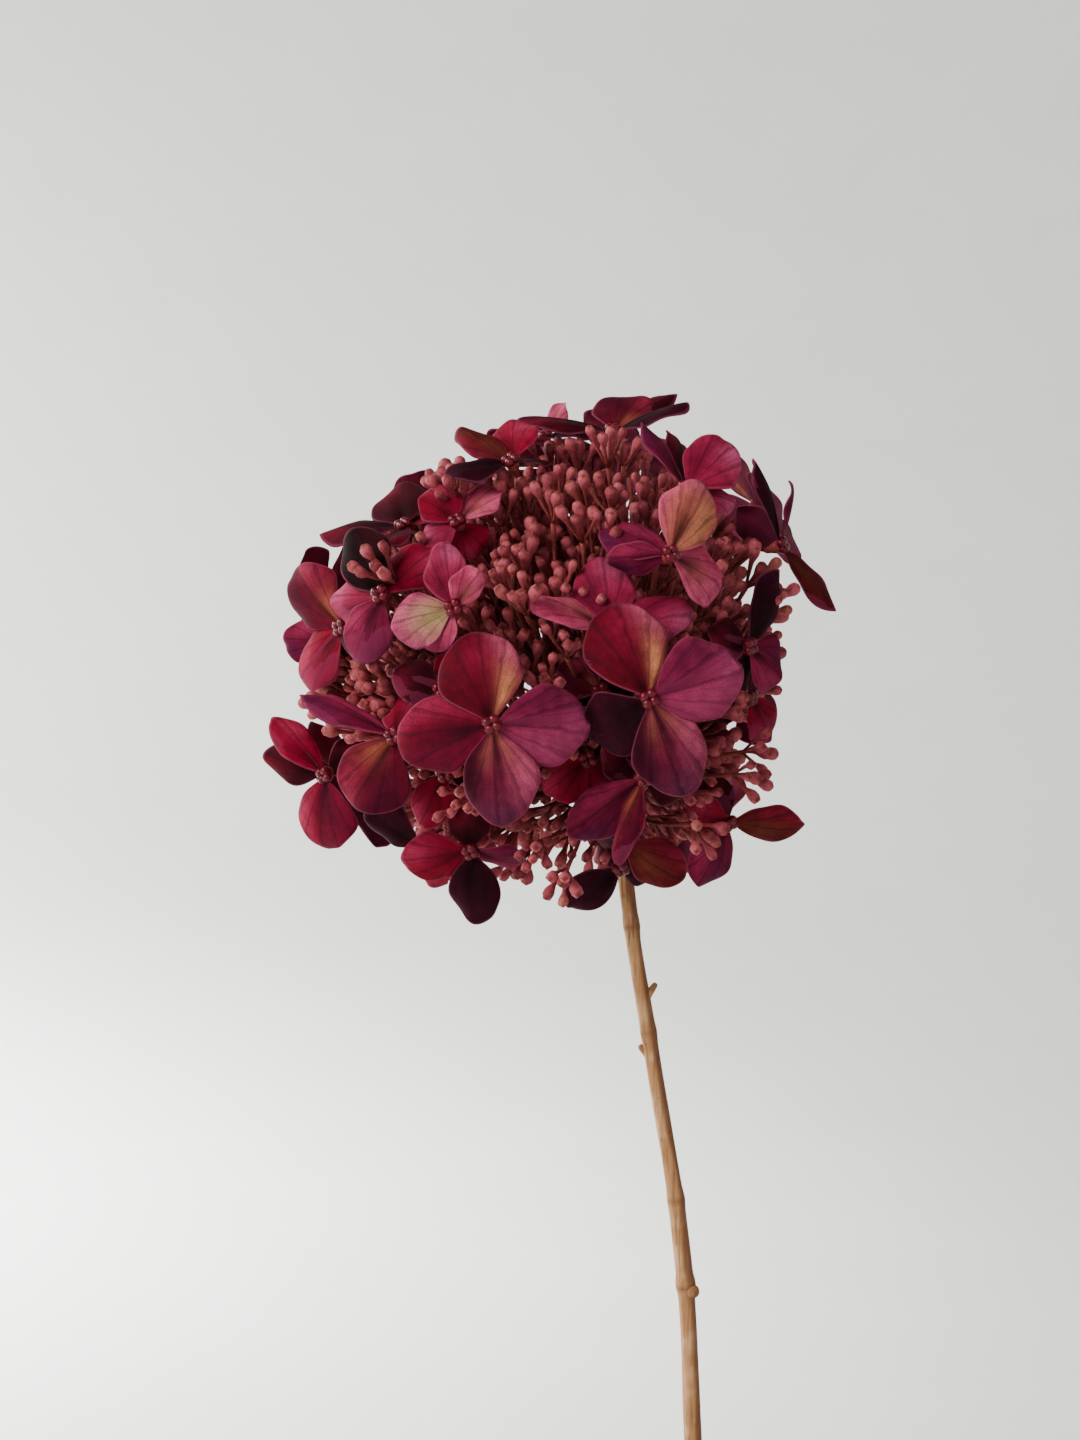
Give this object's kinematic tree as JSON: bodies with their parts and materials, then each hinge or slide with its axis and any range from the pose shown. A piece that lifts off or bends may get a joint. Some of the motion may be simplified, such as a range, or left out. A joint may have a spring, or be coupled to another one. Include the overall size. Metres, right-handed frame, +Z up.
{
  "type": "hydrangea in a vase",
  "caption": "Burgundy lacecap hydrangea head, its open florets spread over a dome of small buds, on a bare woody stem that stands in a plain narrow-necked vase.",
  "frame": {"origin": "middle of the vase's foot, on the surface it stands on", "axes": "+Z up the vase, +X to the right as seen in the picture, +Y away from the viewer"},
  "size_m": [0.1723, 0.1666, 0.4833],
  "materials": {
    "vase_glaze": "satin",
    "stem_wood": "matte",
    "sepal_fabric": "matte",
    "bud_stalks": "matte"
  },
  "bodies": {
    "root": {"vase": "vase_glaze", "stem": "stem_wood", "floret_01": "sepal_fabric", "floret_02": "sepal_fabric", "floret_03": "sepal_fabric", "floret_04": "sepal_fabric", "floret_05": "sepal_fabric", "floret_06": "sepal_fabric", "floret_07": "sepal_fabric", "floret_08": "sepal_fabric", "floret_09": "sepal_fabric", "floret_10": "sepal_fabric", "floret_11": "sepal_fabric", "floret_12": "sepal_fabric", "floret_13": "sepal_fabric", "floret_14": "sepal_fabric", "floret_15": "sepal_fabric", "floret_16": "sepal_fabric", "floret_17": "sepal_fabric", "floret_18": "sepal_fabric", "floret_19": "sepal_fabric", "floret_20": "sepal_fabric", "floret_21": "sepal_fabric", "floret_22": "sepal_fabric", "floret_23": "sepal_fabric", "floret_24": "sepal_fabric", "floret_25": "sepal_fabric", "floret_26": "sepal_fabric", "floret_27": "sepal_fabric", "floret_28": "sepal_fabric", "floret_29": "sepal_fabric", "floret_30": "sepal_fabric", "floret_31": "sepal_fabric", "floret_32": "sepal_fabric", "floret_33": "sepal_fabric", "floret_34": "sepal_fabric", "floret_35": "sepal_fabric", "floret_36": "sepal_fabric", "floret_37": "sepal_fabric", "floret_38": "sepal_fabric", "floret_39": "sepal_fabric", "floret_40": "sepal_fabric", "floret_41": "sepal_fabric", "spray_01": "bud_stalks", "spray_02": "bud_stalks", "spray_03": "bud_stalks", "spray_04": "bud_stalks", "spray_05": "bud_stalks", "spray_06": "bud_stalks", "spray_07": "bud_stalks", "spray_08": "bud_stalks", "spray_09": "bud_stalks", "spray_10": "bud_stalks", "spray_11": "bud_stalks", "spray_12": "bud_stalks", "spray_13": "bud_stalks"}
  },
  "joints": []
}
